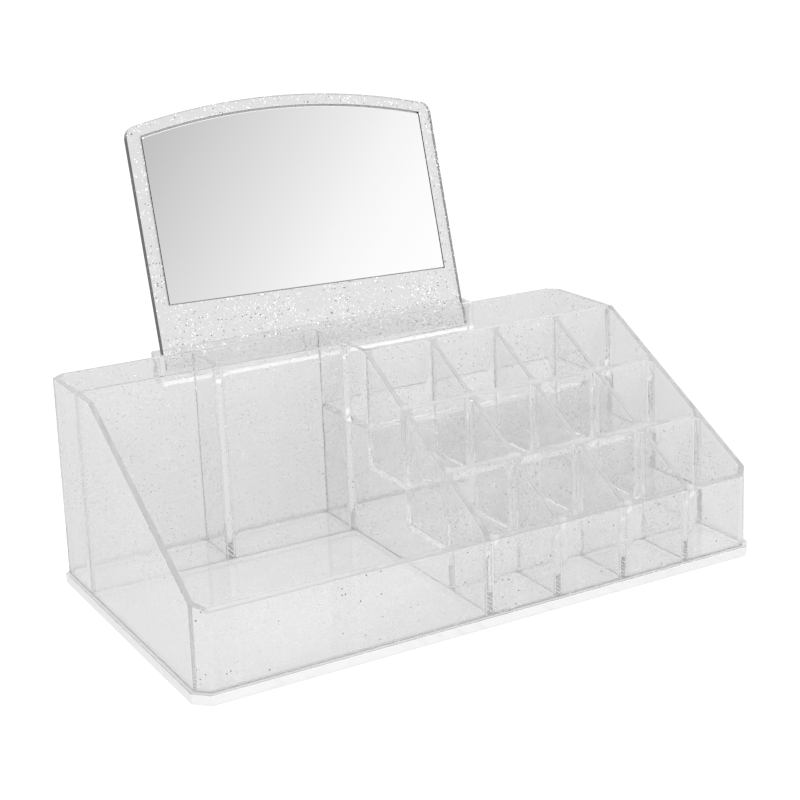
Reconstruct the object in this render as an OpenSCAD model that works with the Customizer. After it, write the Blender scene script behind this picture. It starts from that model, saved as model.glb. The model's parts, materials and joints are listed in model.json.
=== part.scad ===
// Clear glittered vanity organizer: a flat base plate, a moulding with an open tray, three deep
// compartments and twelve lipstick cups on rising steps, and a mirror that stands in a pocket
// behind the back wall. Millimetres. The origin is the middle of the base plate's underside,
// +X to the right, +Y to the back, +Z up.

/* [Base plate] */
// Width of the base plate
base_w = 222; // [212:1:240]
// Depth of the base plate, front to back
base_d = 126; // [122:1:140]
// Thickness of the base plate
base_t = 3.6; // [2.5:0.1:5]
// How far the base plate stands proud of the walls
base_lip = 1.2; // [0.6:0.1:2]
// Length cut off each corner of the base plate, along each side
corner_cut = 4.9; // [4:0.1:8]

/* [Moulding] */
// Height of the rim at the back, from the table
rim_h = 77.6; // [72:0.2:90]
// Height of the rim at the front, from the table
front_h = 30.5; // [26:0.5:36]
// Level stretch of each side's rim, measured from the back
level_d = 40.3; // [38:0.1:46]
// Thickness of the outer walls and of the walls beside the tray
wall_t = 2; // [1.6:0.1:2.6]
// Thickness of the walls between cups and compartments
divider_t = 1.8; // [1.4:0.1:2.2]
// Thickness of the raised floors
floor_t = 2; // [1.4:0.1:3]
// Angle by which the two sides lean inwards, in degrees
draft = 0.8; // [0.2:0.1:1.5]
// Radius of the upright inner corners
corner_r = 2.5; // [1:0.1:4]

/* [Lipstick cups] */
// Clear width of a cup
cup_w = 25.9; // [22:0.1:27]
// Clear depth of a cup, front to back
cup_d = 25.8; // [22:0.1:26.4]
// Rise from one step to the next
step_rise = 15.05; // [10:0.05:16]

/* [Tall compartments] */
// Clear width of the left compartment
left_w = 52.7; // [40:0.1:60]
// Clear depth of the two tall compartments, front to back
tall_d = 23.2; // [18:0.1:28]

/* [Mirror pocket] */
// Distance of the pocket's middle from the organizer's middle
pocket_x = 0.8; // [-10:0.1:10]
// Depth of the pocket below the rim
pocket_depth = 9.6; // [7:0.1:14]
// Thickness of the pocket's floor
pocket_floor_t = 1.8; // [1.4:0.1:3]
// Room at each end of the pocket
pocket_end_gap = 0.95; // [0.5:0.05:2]
// Width of the rests at the pocket's two ends
end_rest_w = 18.6; // [12:0.2:26]
// Width of the rest in the pocket's middle
middle_rest_w = 12.6; // [8:0.2:20]
// Height of the rests above the pocket's floor
rest_h = 8.2; // [5:0.1:9]

/* [Mirror] */
// Width of the mirror frame
frame_w = 129.6; // [110:0.2:140]
// Height of the mirror frame's sides, up to the arc
frame_h = 89.9; // [70:0.2:110]
// Rise of the arc over the mirror's top
arc_rise = 8.1; // [4:0.1:14]
// Thickness of the mirror frame
frame_t = 3.2; // [2.6:0.1:4]
// Radius of the mirror frame's top corners
frame_r = 4; // [2:0.1:8]
// Border between the mirror frame's sides and the glass
border_w = 5.5; // [3:0.1:9]
// Border between the mirror frame's arc and the glass
border_top = 4.2; // [3:0.1:9]
// Height of the plain band under the glass
band_h = 23.3; // [14:0.1:34]
// Thickness of the mirror glass
glass_t = 1.3; // [1:0.1:1.6]
// Thickness of the adhesive pad behind the glass
pad_t = 0.4; // [0.2:0.1:0.6]
// Distance from the glass's edge to the pad's edge
pad_inset = 4; // [2:0.5:10]
// Lean of the mirror from upright, in degrees
lean = 17.6; // [12:0.1:22]
// Turn of the mirror in its own plane, where it stands loose in the pocket, in degrees
roll = 1.25; // [0:0.05:1.4]

/* [Hidden] */

// Small sizes and clearances
// Overrun of every cut
overrun = 0.3;
// Stretch of wall that each crossing wall carries, past its rounded corners
stub = corner_r + overrun;
// Gap between the standing mirror and the pocket
mirror_gap = 0.15;
// Gap under the mirror's lowest corner
seat_gap = 0.05;
// Gap round the glass in its recess
glass_gap = 0.3;
// How far the glass lies below the frame's front
glass_set = 0.1;
// Smoothness of small arcs and of the mirror's long arc
small_fn = 48;
long_fn = 360;

// Colours
clear_colour = [0.86, 0.88, 0.9, 0.5];
glass_colour = [0.82, 0.84, 0.86];
pad_colour = [0.3, 0.3, 0.32];

// Cup rows from the front and columns from the left
cup_rows = 3;
cup_columns = 4;

// Length that a corner cut loses for each unit that the outline moves inwards
cut_loss_share = 2 - sqrt(2);

// Half depth of the walls, and the inner faces of the outer walls at the table's level
half_d = base_d / 2 - base_lip;
in_x = base_w / 2 - base_lip - wall_t;
in_y = half_d - wall_t;

// How far the sides lean in from the table to the rim
lean_in = rim_h * tan(draft);

// The sloping rim
rim_slope = (rim_h - front_h) / (2 * half_d - level_d);

// Left and right face of the wall between tray and cups, set by the cups
tray_wall_x1 = in_x - cup_columns * cup_w - (cup_columns - 1) * divider_t;
tray_wall_x0 = tray_wall_x1 - wall_t;

// Front and back face of the wall before the tall compartments, and the divider between them
tall_wall_y1 = in_y - tall_d;
tall_wall_y0 = tall_wall_y1 - divider_t;
tall_divider_x0 = left_w - in_x;
tall_divider_x1 = tall_divider_x0 + divider_t;

// Cup rows: front face, back face and floor of row r, where the last one is the raised compartment
function row_y0(r) = r * (cup_d + divider_t) - in_y;
function row_y1(r) = r == cup_rows ? in_y : row_y0(r) + cup_d;
function row_floor(r) = base_t + r * step_rise;
function row_under(r) = r == 0 ? base_t : row_floor(r) - floor_t;

// How far row r's front wall reaches back beside the cups
function head(r) = r == cup_rows ? corner_r : stub;

// Left face of cup column c
function column_x0(c) = tray_wall_x1 + c * (cup_w + divider_t);

// The mirror: height of its bottom edge's middle and place of its front face there
corner_drop = frame_w / 2 * sin(roll);
pocket_floor_z = rim_h - pocket_depth;
mirror_z = pocket_floor_z + seat_gap + corner_drop * cos(lean) + frame_t * sin(lean);
mirror_y = half_d + mirror_gap + corner_drop * sin(lean);

// Place of the mirror's back face at height z
function mirror_back_y(z) =
    mirror_y + frame_t * cos(lean) + (z - mirror_z + frame_t * sin(lean)) * tan(lean);

// The pocket: inner face of its rear wall, and its inner half width
pocket_y = mirror_back_y(rim_h) + mirror_gap;
pocket_half_w = frame_w / 2 + pocket_end_gap;

// Circle of the mirror's top, and the height of its middle
arc_r = (pow(frame_w / 2, 2) + pow(arc_rise, 2)) / (2 * arc_rise);
arc_z = frame_h + arc_rise - arc_r;

// Corner points of the plan, anticlockwise from the right side's front end
function plan(inset) =
    let (a = base_w / 2 - inset, b = base_d / 2 - inset, c = corner_cut - inset * cut_loss_share)
    [[a, c - b], [a, b - c], [a - c, b], [c - a, b],
     [-a, b - c], [-a, c - b], [c - a, -b], [a - c, -b]];

// Upright prism on the plan whose sides lean in, from z0 to z1
module leaning_prism(inset, z0, z1) {
    foot = base_w / 2 - inset;
    intersection() {
        translate([0, 0, z0]) linear_extrude(z1 - z0) polygon(plan(inset));
        rotate([90, 0, 0]) linear_extrude(base_d, center = true)
            polygon([for (s = [[-1, z0], [1, z0], [1, z1], [-1, z1]])
                [s[0] * (foot - s[1] * tan(draft)), s[1]]]);
    }
}

// Space inside the outer walls
module inside(z0 = base_t) {
    leaning_prism(base_lip + wall_t, z0, rim_h + overrun);
}

// Everything under the rim, which is level at the back and slopes down to the front
module under_rim() {
    level_y = half_d - level_d;
    front_y = -half_d - overrun;
    rotate([90, 0, 90]) linear_extrude(base_w, center = true)
        polygon([[front_y, 0], [half_d + overrun, 0], [half_d + overrun, rim_h],
                 [level_y, rim_h], [front_y, front_h - overrun * rim_slope]]);
}

// Outline of a compartment with rounded corners
module rounded_outline(x0, x1, y0, y1) {
    translate([x0 + corner_r, y0]) square([x1 - x0 - 2 * corner_r, y1 - y0]);
    translate([x0, y0 + corner_r]) square([x1 - x0, y1 - y0 - 2 * corner_r]);
    for (x = [x0 + corner_r, x1 - corner_r], y = [y0 + corner_r, y1 - corner_r])
        translate([x, y]) circle(corner_r, $fn = small_fn);
}

// Space of one compartment, open at the top
module compartment(x0, x1, y0, y1, floor_z) {
    intersection() {
        translate([0, 0, floor_z])
            linear_extrude(rim_h + overrun - floor_z) rounded_outline(x0, x1, y0, y1);
        inside();
    }
}

module box(x0, x1, y0, y1, z0, z1) {
    translate([x0, y0, z0]) cube([x1 - x0, y1 - y0, z1 - z0]);
}

// Space under the steps, open below, closed by the base plate
module step_hollow() {
    intersection() {
        for (r = [1 : cup_rows])
            box(tray_wall_x1, in_x, row_y0(r), r == cup_rows ? in_y : row_y0(r + 1), base_t, row_under(r));
        inside();
    }
}

// The whole moulding, from which each wall, floor and divider below is a section
module moulding() {
    difference() {
        intersection() {
            leaning_prism(base_lip, base_t, rim_h);
            under_rim();
        }
        compartment(-in_x, tray_wall_x0, -in_y, tall_wall_y0, base_t);
        compartment(-in_x, tall_divider_x0, tall_wall_y1, in_y, base_t);
        compartment(tall_divider_x1, tray_wall_x0, tall_wall_y1, in_y, base_t);
        compartment(tray_wall_x1, in_x, row_y0(cup_rows), in_y, row_floor(cup_rows));
        for (r = [0 : cup_rows - 1], c = [0 : cup_columns - 1])
            compartment(column_x0(c), column_x0(c) + cup_w, row_y0(r), row_y1(r), row_floor(r));
        step_hollow();
    }
}

// Section of the moulding inside the outer walls
module inner_section() {
    color(clear_colour) intersection() {
        moulding();
        inside();
        children();
    }
}

// Outer wall over side i of the plan, mitred against its neighbours
module outer_wall(i) {
    reach = base_lip + wall_t + lean_in + overrun;
    outer = plan(base_lip);
    inner = plan(reach);
    j = (i + 1) % len(outer);
    color(clear_colour) difference() {
        intersection() {
            moulding();
            linear_extrude(rim_h) polygon([outer[i], outer[j], inner[j], inner[i]]);
        }
        inside();
    }
}

module base_plate() {
    color(clear_colour) linear_extrude(base_t) polygon(plan(0));
}

module right_side_wall() { outer_wall(0); }
module back_right_corner() { outer_wall(1); }
module back_wall() { outer_wall(2); }
module back_left_corner() { outer_wall(3); }
module left_side_wall() { outer_wall(4); }
module front_left_corner() { outer_wall(5); }
module front_wall() { outer_wall(6); }
module front_right_corner() { outer_wall(7); }

// Wall between the tray and the cups, with the rounded corners at its two ends
module tray_side_wall() {
    inner_section() {
        box(tray_wall_x0, tray_wall_x1, -in_y, in_y, base_t, rim_h);
        box(tray_wall_x0 - corner_r, tray_wall_x1 + corner_r, -in_y, corner_r - in_y, base_t, rim_h);
        box(tray_wall_x0 - corner_r, tray_wall_x1, in_y - corner_r, in_y, base_t, rim_h);
        box(tray_wall_x1, tray_wall_x1 + corner_r, in_y - corner_r, in_y, row_floor(cup_rows), rim_h);
    }
}

// Wall before the two tall compartments
module tall_compartment_wall() {
    inner_section()
        box(-in_x, tray_wall_x0, tall_wall_y0 - corner_r, tall_wall_y1 + stub, base_t, rim_h);
}

module tall_compartment_divider() {
    inner_section() {
        box(tall_divider_x0, tall_divider_x1, tall_wall_y1 + stub, in_y, base_t, rim_h);
        box(tall_divider_x0 - corner_r, tall_divider_x1 + corner_r, in_y - corner_r, in_y, base_t, rim_h);
    }
}

// Wall behind cup row r, whose foot is the riser of the next step
module cross_wall(r) {
    inner_section()
        box(tray_wall_x1, in_x, row_y1(r) - stub, row_y0(r + 1) + head(r + 1), row_under(r), rim_h);
}

// Floor of row r, between the walls before and behind it
module step_floor(r) {
    inner_section()
        box(tray_wall_x1, in_x, row_y0(r) + head(r), r == cup_rows ? in_y : row_y1(r) - stub,
            row_under(r), row_floor(r));
}

// Divider n of cup row r, counted from the left
module cup_divider(r, n) {
    x1 = column_x0(n);
    inner_section() {
        box(x1 - divider_t, x1, r == 0 ? -in_y : row_y0(r) + stub, row_y1(r) - stub,
            row_floor(r), rim_h);
        if (r == 0)
            box(x1 - divider_t - corner_r, x1 + corner_r, -in_y, corner_r - in_y, base_t, rim_h);
    }
}

// The mirror pocket behind the back wall
module pocket_floor() {
    color(clear_colour)
        box(pocket_x - pocket_half_w - wall_t, pocket_x + pocket_half_w + wall_t, half_d, pocket_y + wall_t,
            pocket_floor_z - pocket_floor_t, pocket_floor_z);
}

module pocket_rear_wall() {
    color(clear_colour)
        box(pocket_x - pocket_half_w - wall_t, pocket_x + pocket_half_w + wall_t, pocket_y, pocket_y + wall_t,
            pocket_floor_z, rim_h);
}

module pocket_end(x) {
    color(clear_colour) box(x, x + wall_t, half_d, pocket_y, pocket_floor_z, rim_h);
}

// Wedge on the pocket's rear wall, whose sloping face carries the mirror's back
module mirror_rest(x, w) {
    top_z = pocket_floor_z + rest_h;
    color(clear_colour) translate([x, 0, 0]) rotate([90, 0, 90]) linear_extrude(w)
        polygon([[mirror_back_y(pocket_floor_z) + mirror_gap, pocket_floor_z], [pocket_y, pocket_floor_z],
                 [pocket_y, top_z], [mirror_back_y(top_z) + mirror_gap, top_z]]);
}

// Places what is drawn in the mirror's own plane: x along its bottom edge, y up its face, z forwards
module in_mirror() {
    translate([pocket_x, mirror_y, mirror_z]) rotate([-lean, 0, 0]) rotate([0, roll, 0])
        rotate([90, 0, 0]) children();
}

// Outline w wide and under the top circle drawn in by inset, from height y0 up
module arched_outline(w, inset, y0) {
    intersection() {
        translate([0, arc_z]) circle(arc_r - inset, $fn = long_fn);
        translate([-w / 2, y0]) square([w, frame_h + arc_rise - y0]);
    }
}

// Outline of the frame: sides, long arc, and small arcs that join them smoothly
module frame_outline() {
    corner_x = frame_w / 2 - frame_r;
    corner_y = arc_z + sqrt(pow(arc_r - frame_r, 2) - pow(corner_x, 2));
    touch_x = corner_x * arc_r / (arc_r - frame_r);
    arched_outline(2 * touch_x, 0, 0);
    translate([-frame_w / 2, 0]) square([frame_w, corner_y]);
    for (s = [-1, 1]) translate([s * corner_x, corner_y]) circle(frame_r, $fn = small_fn);
}

module mirror_frame() {
    recess_d = glass_set + glass_t + pad_t;
    color(clear_colour) in_mirror() difference() {
        translate([0, 0, -frame_t]) linear_extrude(frame_t) frame_outline();
        translate([0, 0, -recess_d]) linear_extrude(recess_d + overrun)
            arched_outline(frame_w - 2 * border_w, border_top, band_h);
    }
}

module mirror_adhesive_pad() {
    pad_w = frame_w - 2 * (border_w + pad_inset);
    color(pad_colour) in_mirror() translate([0, 0, -glass_set - glass_t - pad_t])
        linear_extrude(pad_t) arched_outline(pad_w, border_top + pad_inset, band_h + pad_inset);
}

module mirror_glass() {
    glass_w = frame_w - 2 * (border_w + glass_gap);
    color(glass_colour) in_mirror() translate([0, 0, -glass_set - glass_t])
        linear_extrude(glass_t) arched_outline(glass_w, border_top + glass_gap, band_h + glass_gap);
}

base_plate();
front_wall();
back_wall();
left_side_wall();
right_side_wall();
front_left_corner();
front_right_corner();
back_left_corner();
back_right_corner();
tray_side_wall();
tall_compartment_wall();
tall_compartment_divider();
step_floor(cup_rows);  // raised_compartment_floor
step_floor(2);  // upper_step_floor
step_floor(1);  // middle_step_floor
cross_wall(0);  // lower_riser_wall
cross_wall(1);  // upper_riser_wall
cross_wall(2);  // cup_back_wall
cup_divider(0, 1);  // lower_divider_1
cup_divider(0, 2);  // lower_divider_2
cup_divider(0, 3);  // lower_divider_3
cup_divider(1, 1);  // middle_divider_1
cup_divider(1, 2);  // middle_divider_2
cup_divider(1, 3);  // middle_divider_3
cup_divider(2, 1);  // upper_divider_1
cup_divider(2, 2);  // upper_divider_2
cup_divider(2, 3);  // upper_divider_3
pocket_floor();
pocket_rear_wall();
pocket_end(pocket_x - pocket_half_w - wall_t);  // pocket_left_end
pocket_end(pocket_x + pocket_half_w);  // pocket_right_end
mirror_rest(pocket_x - pocket_half_w, end_rest_w);  // left_mirror_rest
mirror_rest(pocket_x - middle_rest_w / 2, middle_rest_w);  // middle_mirror_rest
mirror_rest(pocket_x + pocket_half_w - end_rest_w, end_rest_w);  // right_mirror_rest
mirror_frame();
mirror_adhesive_pad();
mirror_glass();
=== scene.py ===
import json
import math

import bmesh
import bpy
from mathutils import Matrix, Vector

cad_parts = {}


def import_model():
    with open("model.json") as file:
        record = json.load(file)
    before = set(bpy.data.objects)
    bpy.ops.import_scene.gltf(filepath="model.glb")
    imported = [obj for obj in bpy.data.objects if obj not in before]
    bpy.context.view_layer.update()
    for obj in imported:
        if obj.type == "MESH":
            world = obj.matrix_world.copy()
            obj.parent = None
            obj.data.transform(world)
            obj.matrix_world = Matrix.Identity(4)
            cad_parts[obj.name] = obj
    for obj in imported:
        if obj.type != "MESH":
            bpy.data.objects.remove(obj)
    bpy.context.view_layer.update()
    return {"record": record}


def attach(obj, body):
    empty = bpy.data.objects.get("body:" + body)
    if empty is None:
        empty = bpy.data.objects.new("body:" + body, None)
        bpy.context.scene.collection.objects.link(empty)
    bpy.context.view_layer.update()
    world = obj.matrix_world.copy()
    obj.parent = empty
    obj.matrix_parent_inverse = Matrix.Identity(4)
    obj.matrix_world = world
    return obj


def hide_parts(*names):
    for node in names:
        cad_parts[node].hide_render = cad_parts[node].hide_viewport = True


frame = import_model()

# Sizes in millimetres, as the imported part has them
MM = 0.001
base_w, base_d, base_t = 222.0, 126.0, 3.6
base_lip, corner_cut = 1.2, 4.9
rim_h, front_h, level_d = 77.6, 30.5, 40.3
wall_t, divider_t, floor_t = 2.0, 1.8, 2.0
draft = math.tan(math.radians(0.8))
corner_r = 2.5
cup_w, cup_d, step_rise = 25.9, 25.8, 15.05
left_w, tall_d = 52.7, 23.2
pocket_x, pocket_depth, pocket_floor_t, pocket_end_gap = 0.8, 9.6, 1.8, 0.95
end_rest_w, middle_rest_w, rest_h = 18.6, 12.6, 8.2
frame_w, frame_h, arc_rise, frame_t, frame_r = 129.6, 89.9, 8.1, 3.2, 4.0
border_w, border_top, band_h = 5.5, 4.2, 23.3
glass_t, pad_t, pad_inset, glass_set, glass_gap = 1.3, 0.4, 4.0, 0.1, 0.3
lean, roll = math.radians(17.6), math.radians(1.25)
mirror_gap, seat_gap = 0.15, 0.05

# Faces and levels that follow from them
cut_loss = 2 - math.sqrt(2)
half_w = base_w / 2 - base_lip
half_d = base_d / 2 - base_lip
in_x, in_y = half_w - wall_t, half_d - wall_t
shell_cut = corner_cut - base_lip * cut_loss
inner_cut = shell_cut - wall_t * cut_loss
tray_x1 = in_x - 4 * cup_w - 3 * divider_t
tray_x0 = tray_x1 - wall_t
tall_y1 = in_y - tall_d
tall_y0 = tall_y1 - divider_t
divider_x0 = left_w - in_x
divider_x1 = divider_x0 + divider_t
row_front = [n * (cup_d + divider_t) - in_y for n in range(4)]
row_back = [y + cup_d for y in row_front[:3]] + [in_y]
row_floor = [base_t + n * step_rise for n in range(4)]
column_left = [tray_x1 + n * (cup_w + divider_t) for n in range(4)]

corner_drop = frame_w / 2 * math.sin(roll)
pocket_floor_z = rim_h - pocket_depth
mirror_z = pocket_floor_z + seat_gap + corner_drop * math.cos(lean) + frame_t * math.sin(lean)
mirror_y = half_d + mirror_gap + corner_drop * math.sin(lean)
pocket_half_w = frame_w / 2 + pocket_end_gap
slot_x0, slot_x1 = pocket_x - pocket_half_w, pocket_x + pocket_half_w


def mirror_back_y(z):
    """How far back the mirror reaches at a height."""
    back_edge_z = mirror_z - frame_t * math.sin(lean)
    return mirror_y + frame_t * math.cos(lean) + (z - back_edge_z) * math.tan(lean)


def rim_z(y):
    """The height of the sloping rim at a depth."""
    return min(rim_h, front_h + (y + half_d) * (rim_h - front_h) / (2 * half_d - level_d))


pocket_y = mirror_back_y(rim_h) + mirror_gap

# Sizes in millimetres that only the visual model has
NEAR = 0.01            # points this close are taken as the same
MERGED = 0.002         # points this close become one
OVERRUN = 3.0          # a cutter goes this far past what it cuts
SIDE_REACH = 8.0       # points this close to a side lean with it
JOINT_GAP = 0.05       # height of the bonded joint
BITE = 0.03            # overlap of two bonded pieces
FLOOR_FILLET = 0.8
POCKET_ROOT = 1.0      # the pocket starts this far inside the back wall
POCKET_CORNER = 1.2
MOULDED_EDGE, FRAME_EDGE, GLASS_EDGE = 0.32, 0.15, 0.08
TOP_GAP = 0.8          # between the glass and the top of its recess
GLASS_BEVEL = 0.3      # ground along the top of the glass
CORNER_REACH = 3       # the mirror's top corners are at most this far below frame_h
ARC_REACH = 12         # and all of its arcs are at most this far below it

# Faces that a rounding is made of
ROUND_STEPS, POCKET_STEPS, FILLET_STEPS, EDGE_STEPS, ARC_STEPS = 8, 4, 3, 2, 48

# Angles between faces that are made one, that are shaded sharp and that are rounded
FLAT_ANGLE, SHARP_ANGLE, ROUND_ANGLE = (math.radians(a) for a in (0.3, 28, 35))
FACE_WEIGHT = 60

# Heights of a unit normal: a face points up above UP, and stands upright under UPRIGHT
UP, UPRIGHT = 0.8, 0.3
RIM_NEAR, FOOT_NEAR = 0.1, 1.0      # from the middle of such a face to its level

# Marks stored on the faces: a cut side, which is also the full mark of painted shade, a face, a
# ground bevel, and lighter painted shade on two parts of the recess
CUT_SIDE_AND_SHADE, FACE, GROUND = 1.0, 0.0, -1.0
RECESS_FLOOR_SHADE, RECESS_TOP_SHADE = 0.5, 0.6


# Shapes

def block(x0, x1, y0, y1, z0, z1):
    bm = bmesh.new()
    bmesh.ops.create_cube(bm, size=1)
    bmesh.ops.scale(bm, vec=(x1 - x0, y1 - y0, z1 - z0), verts=bm.verts)
    middle = ((x0 + x1) / 2, (y0 + y1) / 2, (z0 + z1) / 2)
    bmesh.ops.translate(bm, vec=middle, verts=bm.verts)
    return bm


def bevel(bm, edges, size, segments=1):
    """Cuts the edges off flat, or rounds them when there are more segments."""
    if edges:
        bmesh.ops.bevel(bm, geom=edges, offset=size, offset_type="OFFSET", segments=segments,
                        profile=0.5, affect="EDGES", material=-1)


def upright_edges(bm, x, y):
    return [e for e in bm.edges
            if all(abs(v.co.x - x) < NEAR and abs(v.co.y - y) < NEAR for v in e.verts)]


def bottom_edges(bm, z):
    return [e for e in bm.edges if all(abs(v.co.z - z) < NEAR for v in e.verts)]


def verts_of(geometry):
    return [g for g in geometry if isinstance(g, bmesh.types.BMVert)]


def lean_side(bm, x):
    """Leans the side at x inwards, more the higher it is."""
    side = math.copysign(1, x)
    for v in bm.verts:
        if abs(v.co.x - x) < SIDE_REACH:
            v.co.x -= side * v.co.z * draft


def compartment(x0, x1, y0, y1, floor_z):
    """The space of one compartment, with rounded upright corners, open above the rim."""
    raised = floor_z > base_t
    z0 = floor_z if raised else base_t - OVERRUN
    bm = block(x0, x1, y0, y1, z0, rim_h + OVERRUN)
    for x in (x0, x1):
        for y in (y0, y1):
            outer_corner = abs(x) > in_x - NEAR and abs(y) > in_y - NEAR
            if outer_corner:
                bevel(bm, upright_edges(bm, x, y), inner_cut)
            else:
                bevel(bm, upright_edges(bm, x, y), corner_r, ROUND_STEPS)
    if raised:
        bevel(bm, bottom_edges(bm, z0), FLOOR_FILLET, FILLET_STEPS)
    for x in (x0, x1):
        if abs(x) > in_x - NEAR:
            lean_side(bm, x)
    return bm


def joined(parts):
    whole = bmesh.new()
    for part in parts:
        mesh = bpy.data.meshes.new("part")
        part.to_mesh(mesh)
        whole.from_mesh(mesh)
        bpy.data.meshes.remove(mesh)
        part.free()
    return whole


def add_object(name, bm):
    bmesh.ops.recalc_face_normals(bm, faces=bm.faces)
    mesh = bpy.data.meshes.new(name)
    bm.to_mesh(mesh)
    bm.free()
    obj = bpy.data.objects.new(name, mesh)
    bpy.context.scene.collection.objects.link(obj)
    return obj


def carve(obj, cutter_bm, operation="DIFFERENCE"):
    """Cuts the cutter from obj, or adds it."""
    cutter = add_object("cutter", cutter_bm)
    tool = obj.modifiers.new("carve", "BOOLEAN")
    tool.operation, tool.solver, tool.object = operation, "EXACT", cutter
    evaluated = obj.evaluated_get(bpy.context.evaluated_depsgraph_get())
    old = obj.data
    obj.data = bpy.data.meshes.new_from_object(evaluated)
    obj.modifiers.clear()
    bpy.data.meshes.remove(old)
    used = cutter.data
    bpy.data.objects.remove(cutter)
    bpy.data.meshes.remove(used)


def finish_piece(obj, edge_r, material):
    """Brings a piece to metres, rounds its edges and shades it."""
    bm = bmesh.new()
    bm.from_mesh(obj.data)
    bmesh.ops.remove_doubles(bm, verts=bm.verts, dist=MERGED)
    bmesh.ops.dissolve_limit(bm, angle_limit=FLAT_ANGLE, verts=bm.verts, edges=bm.edges)
    bmesh.ops.scale(bm, vec=(MM, MM, MM), verts=bm.verts)
    bmesh.ops.recalc_face_normals(bm, faces=bm.faces)
    bm.to_mesh(obj.data)
    bm.free()
    obj.data.materials.clear()
    obj.data.materials.append(material)
    obj.data.shade_smooth()
    obj.data.set_sharp_from_angle(angle=SHARP_ANGLE)
    if edge_r:
        edges = obj.modifiers.new("moulded edges", "BEVEL")
        edges.width, edges.segments = edge_r * MM, EDGE_STEPS
        edges.limit_method, edges.angle_limit = "ANGLE", ROUND_ANGLE
        edges.harden_normals = False
        edges.miter_outer = "MITER_ARC"
    flats = obj.modifiers.new("flat faces", "WEIGHTED_NORMAL")
    flats.keep_sharp = True
    flats.weight = FACE_WEIGHT


def mark_sides_and_shade(obj, mark_of):
    """Stores on each face how much of it is a cut side, and how much painted shade it carries, for
    the materials.
    """
    marks = obj.data.attributes.new("side", "FLOAT", "FACE")
    for mark, face in zip(marks.data, obj.data.polygons):
        mark.value = mark_of(face.center, face.normal)


# Materials

class Nodes:
    """The emptied node tree of a material or world, with short ways to fill it."""

    def __init__(self, owner):
        owner.use_nodes = True
        self.tree = owner.node_tree
        self.tree.nodes.clear()

    def add(self, kind, inputs=None, **settings):
        """Adds a node. Each input is a plain value or an output of another node."""
        node = self.tree.nodes.new("ShaderNode" + kind)
        for name, value in settings.items():
            setattr(node, name, value)
        for key, value in (inputs or {}).items():
            if isinstance(value, bpy.types.NodeSocket):
                self.tree.links.new(value, node.inputs[key])
            else:
                node.inputs[key].default_value = value
        return node

    def math(self, operation, *values):
        node = self.add("Math", dict(enumerate(values)), operation=operation)
        return node.outputs["Value"]

    def vector(self, operation, inputs, output="Vector"):
        return self.add("VectorMath", inputs, operation=operation).outputs[output]

    def mapped(self, value, low, high, from_low=0.0, from_high=1.0):
        node = self.add("MapRange", {"Value": value, "From Min": from_low, "From Max": from_high,
                                     "To Min": low, "To Max": high})
        return node.outputs["Result"]

    def blend(self, factor, first, second):
        """Blends two colours."""
        return self.add("Mix", {0: factor, 6: first, 7: second}, data_type="RGBA").outputs[2]

    def blend_vectors(self, factor, first, second):
        return self.add("Mix", {0: factor, 4: first, 5: second}, data_type="VECTOR").outputs[1]

    def noise(self, spot, scale, detail=2.0):
        node = self.add("TexNoise", {"Vector": spot, "Scale": scale, "Detail": detail})
        return node.outputs["Fac"]

    def grey_ramp(self, value, stops, interpolation="LINEAR"):
        """A ramp through greys, each given with its position."""
        node = self.add("ValToRGB", {"Fac": value})
        node.color_ramp.interpolation = interpolation
        elements = node.color_ramp.elements
        elements[0].position, elements[1].position = stops[0][0], stops[-1][0]
        for position, _ in stops[1:-1]:
            elements.new(position)
        for element, (_, level) in zip(elements, stops):
            element.color = grey(level)
        return node.outputs["Color"]


def grey(level):
    return (level, level, level, 1)


def new_material(name):
    mat = bpy.data.materials.new(name)
    return mat, Nodes(mat)


# Clear plastic
PLASTIC_IOR, BODY_GREY = 1.5, 0.9
WAVE_SCALE, WAVE_DETAIL, BUMP_STRENGTH, BUMP_DISTANCE = 90, 3, 0.2, 0.0004
LEAST_HAZE, MOST_HAZE = 0.8, 1.2      # times the haze of the plastic
LEAST_ROUGH, MOST_ROUGH, FLECK_ROUGH = 0.02, 0.07, 0.42
FLECK_METALLIC, DULL_FLECK = 0.75, (0.16, 0.16, 0.17, 1)
DRIFT_SCALE, DRIFT_POWER, DRIFT_GAIN = 55, 3, 8
SIDE_FLECKS_LESS = 0.75       # how much of the flecks is lost on a cut side
# The painted shade on the rims is weaker on the rims of the cross walls
CROSS_RIM_SHADE_LESS = 0.7          # how much of the grey is lost on the rims of cross walls
FOOT_H, FOOT_INSIDE = 1.2, 0.2
FOOT_DEPTHS = (0.3, 0.2, 0.5)     # of the foot line in the sides, front and back, cut corners

# Of each size of flecks: cells per metre, radius in cells, share, and shift in metres
FLECK_LAYERS = ((1500, 0.3, 1.0, 15), (760, 0.2, 0.7, 7.6))

# Mirror glass and the dull materials
SILVER, DARK_SIDE = grey(0.94), grey(0.1)
GLASS_WAVE_SCALE, GLASS_ROUGH = 25, (0.01, 0.03)
DULL_ROUGH = 0.8


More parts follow.
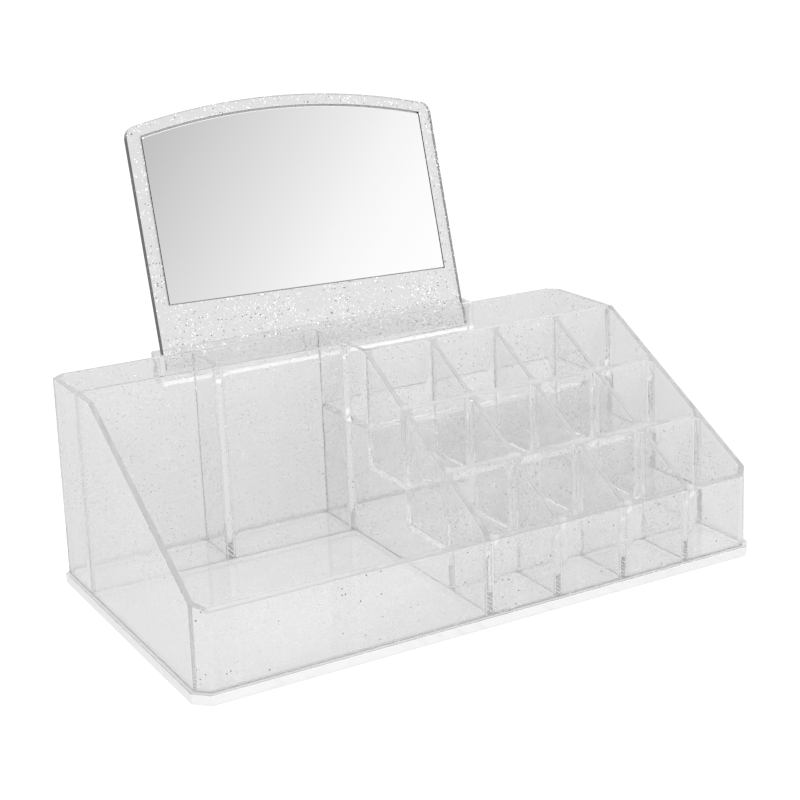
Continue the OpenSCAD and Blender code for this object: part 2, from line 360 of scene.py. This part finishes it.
def flecks(tree, spot, share, dull_share, seed, size):
    """Silver flecks of two sizes, each tilted its own way, thicker here and there.

    Gives the mask of all flecks, the mask of the few dull ones, and the tilts.
    """
    drift = tree.math("POWER", tree.noise(spot, DRIFT_SCALE), DRIFT_POWER)
    drift = tree.math("MULTIPLY", drift, DRIFT_GAIN)
    masks, dull_masks, tilts = [], [], []
    for scale, radius, part, shift in FLECK_LAYERS:
        moved = tree.add("Mapping", {"Vector": spot, "Location": (seed, shift, 0)})
        cells = tree.add("TexVoronoi", {"Vector": moved.outputs["Vector"], "Scale": scale})
        colour = cells.outputs["Color"]
        parts = tree.add("SeparateColor", {"Color": colour}).outputs
        near = tree.math("LESS_THAN", cells.outputs["Distance"], radius * size)
        chosen = tree.math("LESS_THAN", parts["Red"], tree.math("MULTIPLY", drift, share * part))
        here = tree.math("MULTIPLY", near, chosen)
        masks.append(here)
        dull = tree.math("GREATER_THAN", parts["Green"], 1 - dull_share)
        dull_masks.append(tree.math("MULTIPLY", here, dull))
        tilts.append(tree.vector("SUBTRACT", {0: colour, 1: (0.5, 0.5, 0.5)}))
    return (tree.math("MAXIMUM", *masks), tree.math("MAXIMUM", *dull_masks),
            tree.blend_vectors(masks[1], *tilts))


def cross_rims(tree, place, rims):
    """1 between the side walls where y is in one of the given ranges, and 0 elsewhere."""
    along = tree.mapped(place["Y"], 0, 1, -half_d * MM, half_d * MM)
    stops = [(0, 0), (1, 0)]
    stops[1:1] = [((y + half_d) / (2 * half_d), level)
                  for y0, y1 in rims for y, level in ((y0, 1), (y1, 0))]
    bands = tree.grey_ramp(along, stops, "CONSTANT")
    between = tree.math("LESS_THAN", tree.math("ABSOLUTE", place["X"]), in_x * MM)
    return tree.math("MULTIPLY", bands, between)


def foot_shade(tree, place):
    """Painted shade: 1 at the foot of the outside, where the walls meet the base plate, and less
    inside.
    """
    low = tree.math("LESS_THAN", place["Z"], (base_t + FOOT_H) * MM)
    x, y = (tree.math("ABSOLUTE", place[axis]) for axis in "XY")
    reaches = ((x, half_w), (y, half_d), (tree.math("ADD", x, y), half_w + half_d - shell_cut))
    share = FOOT_INSIDE
    for (reach, limit), depth in zip(reaches, FOOT_DEPTHS):
        on_outside = tree.math("GREATER_THAN", reach, (limit - depth) * MM)
        share = tree.math("MAXIMUM", share, on_outside)
    return tree.math("MULTIPLY", low, share)


def clear_plastic(name, haze, depth, tint, cut_and_shade_grey, side_haze, fleck_share, dull_share,
                  fleck_seed, fleck_size=1.0, less_shaded_rims=(), foot_shade_grey=1.0, dark_inside=False):
    """Clear plastic with a slight haze and silver flecks, greyer where it is cut, with painted
    shade on marked faces and at the foot of the walls.
    """
    mat, tree = new_material(name)
    spot = tree.add("TexCoord").outputs["Object"]
    place = tree.add("SeparateXYZ", {"Vector": spot}).outputs

    # Slight unevenness of the moulded surface
    waves = tree.noise(spot, WAVE_SCALE, WAVE_DETAIL)
    bump = tree.add("Bump", {"Strength": BUMP_STRENGTH, "Distance": BUMP_DISTANCE, "Height": waves})

    # Haze and flecks lie on the outside of the surface only, and few flecks show on a cut side
    side = tree.add("Attribute", attribute_name="side").outputs["Fac"]
    outside = tree.math("SUBTRACT", 1, tree.add("NewGeometry").outputs["Backfacing"])
    shown = tree.math("SUBTRACT", 1, tree.math("MULTIPLY", side, SIDE_FLECKS_LESS))
    shown = tree.math("MULTIPLY", outside, shown)
    fleck, dull, tilt = flecks(tree, spot, fleck_share, dull_share, fleck_seed, fleck_size)
    fleck, dull = (tree.math("MULTIPLY", mask, shown) for mask in (fleck, dull))
    no_fleck = tree.math("SUBTRACT", 1, fleck)

    # The cut sides are greyer, and the marked rims and frame walls are greyed as painted shade, the
    # rims of the cross walls less so
    if less_shaded_rims:
        less = tree.math("MULTIPLY", cross_rims(tree, place, less_shaded_rims), CROSS_RIM_SHADE_LESS)
        side = tree.math("MULTIPLY", side, tree.math("SUBTRACT", 1, less))
    colour = tree.blend(side, grey(tint), grey(cut_and_shade_grey))
    # Painted shade darkens the foot of the walls
    if foot_shade_grey < 1:
        colour = tree.blend(foot_shade(tree, place), colour, grey(foot_shade_grey))
    colour = tree.blend(fleck, colour, grey(1))
    colour = tree.blend(dull, colour, DULL_FLECK)

    milky = tree.mapped(waves, haze * LEAST_HAZE, haze * MOST_HAZE)
    cut_side = tree.math("MULTIPLY", side, side_haze)
    if dark_inside:
        milky = tree.math("MAXIMUM", tree.math("MULTIPLY", milky, outside), cut_side)
    else:
        milky = tree.math("MULTIPLY", tree.math("ADD", milky, cut_side), outside)
    clear = tree.math("MULTIPLY", tree.math("SUBTRACT", 1, milky), no_fleck)
    rough = tree.math("MAXIMUM", tree.mapped(waves, LEAST_ROUGH, MOST_ROUGH),
                      tree.math("MULTIPLY", fleck, FLECK_ROUGH))

    tilted = tree.vector("SCALE", {"Vector": tilt, "Scale": fleck})
    normal = tree.vector("ADD", {0: bump.outputs["Normal"], 1: tilted})
    face = tree.add("BsdfPrincipled", {
        "Base Color": colour, "Metallic": tree.math("MULTIPLY", fleck, FLECK_METALLIC),
        "Roughness": rough, "IOR": PLASTIC_IOR, "Transmission Weight": clear,
        "Normal": tree.vector("NORMALIZE", {0: normal})})
    body = tree.add("VolumeAbsorption", {"Color": grey(BODY_GREY), "Density": depth})
    tree.add("OutputMaterial", {"Surface": face.outputs["BSDF"], "Volume": body.outputs["Volume"]})
    return mat


def silvered_glass():
    """A mirror with dark sides, and a white bevel without silver where it is ground."""
    mat, tree = new_material("silvered mirror glass")
    spot = tree.add("TexCoord").outputs["Object"]
    side = tree.add("Attribute", attribute_name="side").outputs["Fac"]
    face = tree.add("BsdfPrincipled", {
        "Base Color": tree.blend(side, SILVER, DARK_SIDE),
        "Metallic": tree.math("GREATER_THAN", side, GROUND / 2),
        "Roughness": tree.mapped(tree.noise(spot, GLASS_WAVE_SCALE), *GLASS_ROUGH)})
    tree.add("OutputMaterial", {"Surface": face.outputs["BSDF"]})
    return mat


def mottled(name, scale, low, high):
    """A dull, finely mottled grey."""
    mat, tree = new_material(name)
    spot = tree.add("TexCoord").outputs["Object"]
    face = tree.add("BsdfPrincipled", {
        "Base Color": tree.grey_ramp(tree.noise(spot, scale), [(0, low), (1, high)]),
        "Roughness": DULL_ROUGH})
    tree.add("OutputMaterial", {"Surface": face.outputs["BSDF"]})
    return mat


# Rims of the cross walls, where the painted rim shade is weaker
less_shaded_rims = [(-half_d + NEAR, -in_y), (tall_y0, tall_y1), (in_y, half_d - NEAR)]
less_shaded_rims += [(row_back[n], row_front[n + 1]) for n in range(3)]
# The rims of this plastic are greyed as painted shade, less on the cross walls, and the foot of its
# walls is darkened as painted shade
moulding_plastic = clear_plastic(
    "clear glittered plastic", haze=0.18, depth=3, tint=0.999, cut_and_shade_grey=0.62, side_haze=0.4,
    fleck_share=0.13, dull_share=0.13, fleck_seed=0.0, less_shaded_rims=sorted(less_shaded_rims),
    foot_shade_grey=0.75)
base_plastic = clear_plastic(
    "clear glittered base plastic", haze=0.18, depth=2, tint=0.955, cut_and_shade_grey=0.94, side_haze=0.7,
    fleck_share=0.1, dull_share=0.15, fleck_seed=0.37)
# The outer sides and the recess walls of the frame are painted nearly black as shade
frame_plastic = clear_plastic(
    "clear glittered frame plastic", haze=0.09, depth=70, tint=0.98, cut_and_shade_grey=0.05, side_haze=0.85,
    fleck_share=0.43, dull_share=0.09, fleck_seed=0.71, fleck_size=1.15, dark_inside=True)
mirror_silver = silvered_glass()
pad_foam = mottled("grey foam tape", 900, 0.58, 0.76)
joint_cement = mottled("clear joint cement", 150, 0.78, 0.9)


# The moulding

def outer_shell():
    """The outside of the moulding as one solid: cut corners, leaning sides, sloping top."""
    shell = block(-half_w, half_w, -half_d, half_d, base_t + JOINT_GAP, rim_h)
    for x in (-half_w, half_w):
        for y in (-half_d, half_d):
            bevel(shell, upright_edges(shell, x, y), shell_cut)
    cut = bmesh.ops.bisect_plane(
        shell, geom=shell.verts[:] + shell.edges[:] + shell.faces[:],
        plane_co=(0, -half_d, front_h), plane_no=(0, front_h - rim_h, 2 * half_d - level_d),
        clear_outer=True)
    open_edges = [g for g in cut["geom_cut"] if isinstance(g, bmesh.types.BMEdge)]
    bmesh.ops.edgenet_fill(shell, edges=open_edges)
    for x in (-half_w, half_w):
        lean_side(shell, x)
    return shell


def pocket_block():
    """The outside of the mirror pocket behind the back wall."""
    x0, x1, back = slot_x0 - wall_t, slot_x1 + wall_t, pocket_y + wall_t
    pocket = block(x0, x1, half_d - POCKET_ROOT, back, pocket_floor_z - pocket_floor_t, rim_h)
    for x in (x0, x1):
        bevel(pocket, upright_edges(pocket, x, back), POCKET_CORNER, POCKET_STEPS)
    return pocket


def compartment_spaces():
    spaces = [
        compartment(-in_x, tray_x0, -in_y, tall_y0, base_t),
        compartment(-in_x, divider_x0, tall_y1, in_y, base_t),
        compartment(divider_x1, tray_x0, tall_y1, in_y, base_t),
        compartment(tray_x1, in_x, row_front[3], in_y, row_floor[3]),
    ]
    for row in range(3):
        for x in column_left:
            spaces.append(compartment(x, x + cup_w, row_front[row], row_back[row], row_floor[row]))
    return joined(spaces)


def hollow_under_steps():
    """The hollow under the raised floors, as one prism, so that no skin is left between steps."""
    outline = [(in_y, base_t - OVERRUN), (row_front[1], base_t - OVERRUN)]
    for row in (1, 2, 3):
        back = in_y if row == 3 else row_front[row + 1]
        ceiling = row_floor[row] - floor_t
        outline += [(row_front[row], ceiling), (back, ceiling)]
    hollow = bmesh.new()
    end = hollow.faces.new([hollow.verts.new((tray_x1, y, z)) for y, z in outline])
    pushed = bmesh.ops.extrude_face_region(hollow, geom=[end])["geom"]
    bmesh.ops.translate(hollow, vec=(in_x - tray_x1, 0, 0), verts=verts_of(pushed))
    bmesh.ops.recalc_face_normals(hollow, faces=hollow.faces)
    bevel(hollow, upright_edges(hollow, in_x, in_y), inner_cut)
    lean_side(hollow, in_x)
    return hollow


def mirror_slots():
    """The sloping slot for the mirror, the gaps between its rests, and the space over them."""
    top = rim_h + OVERRUN
    slope = block(slot_x0, slot_x1, half_d, pocket_y, pocket_floor_z, top)
    for v in slope.verts:
        if v.co.y > half_d + NEAR:
            v.co.y = mirror_back_y(v.co.z) + mirror_gap
    gaps = [block(x0, x1, half_d, pocket_y, pocket_floor_z, top)
            for x0, x1 in ((slot_x0 + end_rest_w, pocket_x - middle_rest_w / 2),
                           (pocket_x + middle_rest_w / 2, slot_x1 - end_rest_w))]
    over_rests = block(slot_x0, slot_x1, half_d, pocket_y, pocket_floor_z + rest_h, top)
    return slope, joined(gaps), over_rests


def at_foot(face):
    return face.normal.z < -UP and face.calc_center_median().z < base_t + FOOT_NEAR


def bonded_joint(moulded):
    """The thin joint under every wall of the moulding, which bites a little into both sides."""
    joint = bmesh.new()
    joint.from_mesh(moulded.data)
    bmesh.ops.delete(joint, geom=[f for f in joint.faces if not at_foot(f)], context="FACES")
    bmesh.ops.translate(joint, vec=(0, 0, BITE), verts=joint.verts)
    lower = bmesh.ops.extrude_face_region(joint, geom=joint.faces[:], use_keep_orig=True)["geom"]
    bmesh.ops.translate(joint, vec=(0, 0, -JOINT_GAP - 2 * BITE), verts=verts_of(lower))
    bond = add_object("bonded_joint", joint)
    finish_piece(bond, 0, joint_cement)
    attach(bond, "organizer")


def rim_shade_mark(place, way):
    """The rims of the moulding are marked for painted shade, like cut sides."""
    at_rim = abs(place.z - rim_z(place.y)) < RIM_NEAR
    return CUT_SIDE_AND_SHADE if at_rim and way.z > UP else FACE


def plate_mark(place, way):
    """The plate was cut along its sides."""
    return CUT_SIDE_AND_SHADE if abs(way.z) < UPRIGHT else FACE


def moulding():
    obj = add_object("moulding", outer_shell())
    carve(obj, pocket_block(), "UNION")
    carve(obj, compartment_spaces())
    carve(obj, hollow_under_steps())
    for slot in mirror_slots():
        carve(obj, slot)
    bonded_joint(obj)
    mark_sides_and_shade(obj, rim_shade_mark)
    finish_piece(obj, MOULDED_EDGE, moulding_plastic)
    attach(obj, "organizer")
    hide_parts(*[n for n in frame["record"]["behaviour"]["bodies"]["organizer"]
                       if n != "base_plate"])


def base_plate():
    plate = block(-base_w / 2, base_w / 2, -base_d / 2, base_d / 2, 0, base_t)
    for x in (-base_w / 2, base_w / 2):
        for y in (-base_d / 2, base_d / 2):
            bevel(plate, upright_edges(plate, x, y), corner_cut)
    obj = add_object("bonded_base_plate", plate)
    mark_sides_and_shade(obj, plate_mark)
    finish_piece(obj, MOULDED_EDGE, base_plastic)
    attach(obj, "organizer")
    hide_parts("base_plate")


# The mirror, modelled flat with its front up, its foot at y = 0 and then put in its pocket

MIRROR_PLACE = (Matrix.Translation((pocket_x, mirror_y, mirror_z)) @ Matrix.Rotation(-lean, 4, "X")
                @ Matrix.Rotation(roll, 4, "Y") @ Matrix.Rotation(math.radians(90), 4, "X"))
recess = glass_set + glass_t + pad_t


def top_corner_edges(bm, w):
    """The edges through the thickness of a plate w wide at the two ends of its arc."""
    return [e for e in bm.edges
            if abs(e.verts[0].co.x - e.verts[1].co.x) < NEAR
            and abs(e.verts[0].co.y - e.verts[1].co.y) < NEAR
            and e.verts[0].co.y > frame_h - CORNER_REACH and abs(e.verts[0].co.x) > w / 2 - NEAR]


def front_arc_edges(bm, front):
    """The front edges along the arc of a plate."""
    return [e for e in bm.edges
            if all(v.co.z > front - NEAR and v.co.y > frame_h - ARC_REACH for v in e.verts)
            and abs(e.verts[0].co.x - e.verts[1].co.x) > NEAR]


def arched_plate(w, bottom, inset, back, front, top_r=0.0):
    """A plate w wide whose top is an arc, from the height bottom up, between two depths."""
    arc_r = ((frame_w / 2) ** 2 + arc_rise ** 2) / (2 * arc_rise)
    centre = frame_h + arc_rise - arc_r
    radius = arc_r - inset
    half = math.asin(w / 2 / radius)
    bm = bmesh.new()
    start = bm.verts.new((radius * math.sin(-half), centre + radius * math.cos(half), back))
    bmesh.ops.spin(bm, geom=[start], cent=(0, centre, 0), axis=(0, 0, 1), angle=-2 * half,
                   steps=ARC_STEPS, use_duplicate=False)
    bm.verts.ensure_lookup_table()
    left = min(bm.verts, key=lambda v: v.co.x)
    right = max(bm.verts, key=lambda v: v.co.x)
    feet = [bm.verts.new((v.co.x, bottom, back)) for v in (left, right)]
    bm.edges.new((left, feet[0]))
    bm.edges.new((right, feet[1]))
    bm.edges.new(feet)
    face = bmesh.ops.contextual_create(bm, geom=bm.edges[:])["faces"][0]
    if face.normal.z > 0:
        face.normal_flip()
    raised = bmesh.ops.extrude_face_region(bm, geom=[face])["geom"]
    bmesh.ops.translate(bm, vec=(0, 0, front - back), verts=verts_of(raised))
    if top_r:
        bevel(bm, top_corner_edges(bm, w), top_r, ROUND_STEPS)
    return bm


def frame_shade_mark(place, way):
    """How dark a face of the frame is painted as shade: its outer sides, most where they face left
    and right, and the walls of its recess.
    """
    if abs(place.z + recess) < NEAR:
        return RECESS_FLOOR_SHADE
    underside = place.y < NEAR
    if underside or abs(way.z) > UPRIGHT:
        return FACE
    middle = Vector((0, frame_h / 2 + band_h / 2, 0))
    outer_side = way.dot(place - middle) > 0
    if outer_side:
        # painted shade, darkest on the sides that face left and right
        return way.x ** 2
    top_wall = place.y > frame_h - border_top - CORNER_REACH
    return RECESS_TOP_SHADE if top_wall else CUT_SIDE_AND_SHADE


def glass_mark(place, way):
    """The glass is ground along its arc and cut at its sides."""
    if UPRIGHT < way.z < UP:
        return GROUND
    return CUT_SIDE_AND_SHADE if abs(way.z) < UPRIGHT else FACE


def mirror():
    frame_obj = add_object("arched_mirror_frame", arched_plate(frame_w, 0, 0, -frame_t, 0, frame_r))
    carve(frame_obj, arched_plate(frame_w - 2 * border_w, band_h, border_top, -recess, OVERRUN))
    mark_sides_and_shade(frame_obj, frame_shade_mark)

    glass_w, glass_foot = frame_w - 2 * (border_w + glass_gap), band_h + glass_gap
    sheet = arched_plate(
        glass_w, glass_foot, border_top + TOP_GAP, -glass_set - glass_t, -glass_set)
    bevel(sheet, front_arc_edges(sheet, -glass_set), GLASS_BEVEL)
    glass = add_object("silvered_glass", sheet)
    pad = add_object("foam_tape_pad", arched_plate(
        glass_w - 2 * pad_inset, glass_foot + pad_inset, border_top + glass_gap + pad_inset,
        -recess - BITE, -glass_set - glass_t))
    mark_sides_and_shade(glass, glass_mark)

    for obj, edge_r, mat, slot, node in (
            (frame_obj, FRAME_EDGE, frame_plastic, "mirror_frame", "mirror_frame"),
            (pad, 0, pad_foam, "adhesive_pad", "mirror_adhesive_pad"),
            (glass, GLASS_EDGE, mirror_silver, "mirror_glass", "mirror_glass")):
        obj.data.transform(MIRROR_PLACE)
        finish_piece(obj, edge_r, mat)
        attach(obj, "mirror")
        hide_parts(node)


moulding()
base_plate()
mirror()


# The stage, in metres

FLOOR_HALF, FLOOR_DROP = 9, 0.0002

# Colour and glow of the floor, and what camera and diffuse rays see more of it
PAPER, PAPER_TO_CAMERA = 0.05, 0.17
GLOW, GLOW_TO_CAMERA, GLOW_TO_DIFFUSE = 0.71, 0.19, 0.08

# Brightness of the studio: seen through plastic, in diffuse light, and in reflections
THROUGH_LEVEL, THROUGH_UP = 1.06, 1.22
DIFFUSE_LESS = 0.13
FAINT_SLOPE, FAINT_MIDDLE = 0.36, 1.08

# Greys that the mirror shows at the photograph's angle, across the directions it reflects
ACROSS, ACROSS_REACH = (0.7265, 0.0762, -0.6829), 0.25
MIRROR_GREYS = [(0.0, 0.56), (0.3, 0.56), (0.33, 0.60), (0.41, 0.73), (0.5, 0.87), (0.56, 0.97),
                (0.61, 1.02), (0.66, 1.05)]
REFLECTED, REFLECTED_FROM, REFLECTED_FULL = (0.428, -0.825, 0.367), 0.88, 0.95

# Name, place, power in watts
SOFTBOXES = (("left softbox", (-1.2, -0.7, 1.3), 4),
             ("key softbox", (-0.5, -1.3, 1.25), 3.5),
             ("right softbox", (1.3, -0.9, 1.2), 3.5))
SOFTBOX_SIZE, SOFTBOX_TARGET = 0.25, (0, 0, 0.05)

# Fitted to the photograph
CAMERA_LENS, CAMERA_SENSOR, CAMERA_CLIP = 76.43, 36, (0.01, 60)
CAMERA_PLACE = (-0.282295, -0.506583, 0.240842)
CAMERA_AXES = ((0.86783244, 0.17611431, -0.46459724),
               (-0.49543269, 0.23597661, -0.83597936),
               (-0.03759385, 0.95566667, 0.29204095))


def stage():
    """A white floor that shows white to the camera and less so through the plastic."""
    bm = bmesh.new()
    bmesh.ops.create_grid(bm, x_segments=1, y_segments=1, size=FLOOR_HALF)
    bmesh.ops.translate(bm, vec=(0, 0, -FLOOR_DROP), verts=bm.verts)
    mesh = bpy.data.meshes.new("floor")
    bm.to_mesh(mesh)
    bm.free()
    floor = bpy.data.objects.new("floor", mesh)
    bpy.context.scene.collection.objects.link(floor)

    mat, tree = new_material("white studio floor")
    path = tree.add("LightPath").outputs
    colour = tree.math("MULTIPLY_ADD", path["Is Camera Ray"], PAPER_TO_CAMERA, PAPER)
    strength = tree.math("MULTIPLY_ADD", path["Is Camera Ray"], GLOW_TO_CAMERA, GLOW)
    strength = tree.math("MULTIPLY_ADD", path["Is Diffuse Ray"], GLOW_TO_DIFFUSE, strength)
    paper = tree.add("BsdfDiffuse", {"Color": colour})
    glow = tree.add("Emission", {"Strength": strength})
    both = tree.add("AddShader", {0: paper.outputs["BSDF"], 1: glow.outputs["Emission"]})
    tree.add("OutputMaterial", {"Surface": both.outputs["Shader"]})
    floor.data.materials.append(mat)


def world():
    """A white studio, with a grey gradient where the mirror looks at the photograph's angle."""
    sky = bpy.data.worlds.new("studio")
    bpy.context.scene.world = sky
    tree = Nodes(sky)
    way = tree.add("TexCoord").outputs["Generated"]
    path = tree.add("LightPath").outputs

    # Reflections: the gradient near the mirror's direction, and a wide and faint one elsewhere
    across = tree.vector("DOT_PRODUCT", {0: way, 1: ACROSS}, "Value")
    gradient = tree.grey_ramp(tree.mapped(across, 0, 1, -ACROSS_REACH, ACROSS_REACH), MIRROR_GREYS)
    faint = tree.math("MULTIPLY_ADD", across, FAINT_SLOPE, FAINT_MIDDLE)
    towards = tree.vector("DOT_PRODUCT", {0: way, 1: REFLECTED}, "Value")
    near_mirror = tree.mapped(towards, 0, 1, REFLECTED_FROM, REFLECTED_FULL)
    reflected = tree.blend(near_mirror, faint, gradient)

    # Light through the plastic is a little brighter from above
    up = tree.add("SeparateXYZ", {"Vector": way}).outputs["Z"]
    through = tree.mapped(up, THROUGH_LEVEL, THROUGH_UP)
    pale = tree.blend(path["Is Transmission Ray"], reflected, through)
    lit = tree.add("Background", {"Color": pale})

    # The camera sees white, and diffuse light is a little less
    camera_or_diffuse = tree.math("MAXIMUM", path["Is Camera Ray"], path["Is Diffuse Ray"])
    soft = tree.math("MULTIPLY_ADD", path["Is Diffuse Ray"], -DIFFUSE_LESS, 1)
    plain = tree.add("Background", {"Color": grey(1), "Strength": soft})
    both = tree.add("MixShader", {0: camera_or_diffuse, 1: lit.outputs["Background"],
                                  2: plain.outputs["Background"]})
    tree.add("OutputWorld", {"Surface": both.outputs["Shader"]})


def softbox(name, place, power):
    lamp = bpy.data.lights.new(name, "AREA")
    lamp.shape, lamp.size, lamp.energy = "SQUARE", SOFTBOX_SIZE, power
    obj = bpy.data.objects.new(name, lamp)
    obj.location = place
    obj.rotation_mode = "QUATERNION"
    towards = Vector(SOFTBOX_TARGET) - Vector(place)
    obj.rotation_quaternion = towards.to_track_quat("-Z", "Y")
    obj.visible_transmission = False
    bpy.context.scene.collection.objects.link(obj)


def camera():
    data = bpy.data.cameras.new("camera")
    data.lens, data.sensor_width = CAMERA_LENS, CAMERA_SENSOR
    data.clip_start, data.clip_end = CAMERA_CLIP
    obj = bpy.data.objects.new("camera", data)
    obj.rotation_mode = "QUATERNION"
    obj.rotation_quaternion = Matrix(CAMERA_AXES).to_quaternion()
    obj.location = CAMERA_PLACE
    bpy.context.scene.collection.objects.link(obj)
    bpy.context.scene.camera = obj


stage()
world()
for lamp_name, lamp_place, lamp_power in SOFTBOXES:
    softbox(lamp_name, lamp_place, lamp_power)
camera()

scene = bpy.context.scene
scene.view_settings.view_transform = "Standard"
scene.cycles.max_bounces = 40
scene.cycles.transmission_bounces = 40
scene.cycles.glossy_bounces = 40
scene.cycles.diffuse_bounces = 20
